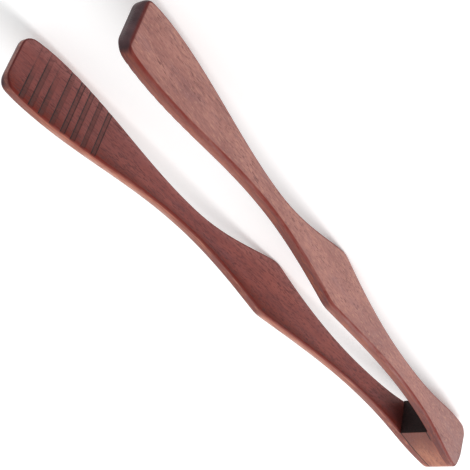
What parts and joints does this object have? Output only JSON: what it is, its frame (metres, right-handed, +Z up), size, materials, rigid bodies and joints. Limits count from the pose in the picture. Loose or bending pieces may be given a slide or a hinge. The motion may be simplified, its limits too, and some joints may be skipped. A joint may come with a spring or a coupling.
{
  "type": "wooden kitchen tongs",
  "caption": "Wooden kitchen tongs: springy arms glued to a wedge block at the heel, shaped grips and grooved flat tips.",
  "frame": {"origin": "under the middle of the bounding box, on the surface that the tongs lie on", "axes": "+X from the heel to the tips, +Y across the jaw towards the left arm, +Z up, out of the upper side edges"},
  "size_m": [0.28, 0.0566, 0.0267],
  "materials": {
    "arm_wood": "red-brown stained hardwood, oiled, satin",
    "wedge_wood": "red-brown stained hardwood, oiled, satin, darker on the end grain",
    "glue": "dark cured wood glue"
  },
  "bodies": {
    "heel": {"wedge_block": "wedge_wood", "left_glue_line": "glue", "right_glue_line": "glue", "left_arm_heel": "arm_wood", "right_arm_heel": "arm_wood", "left_arm_neck": "arm_wood", "right_arm_neck": "arm_wood"},
    "left_arm": {"left_arm": "arm_wood"},
    "right_arm": {"right_arm": "arm_wood"}
  },
  "joints": [
    {"name": "left_arm_flex", "type": "hinge", "parent": "heel", "child": "left_arm", "pos_m": [-0.083, 0.01049, 0.01382], "axis": [0, 0, -1], "range_deg": [0, 6.1], "stiffness_Nm_per_rad": 10, "deforming": ["left_arm_neck"]},
    {"name": "right_arm_flex", "type": "hinge", "parent": "heel", "child": "right_arm", "pos_m": [-0.083, -0.01049, 0.01382], "axis": [0, 0, 1], "range_deg": [0, 6.1], "stiffness_Nm_per_rad": 10, "deforming": ["right_arm_neck"]}
  ]
}
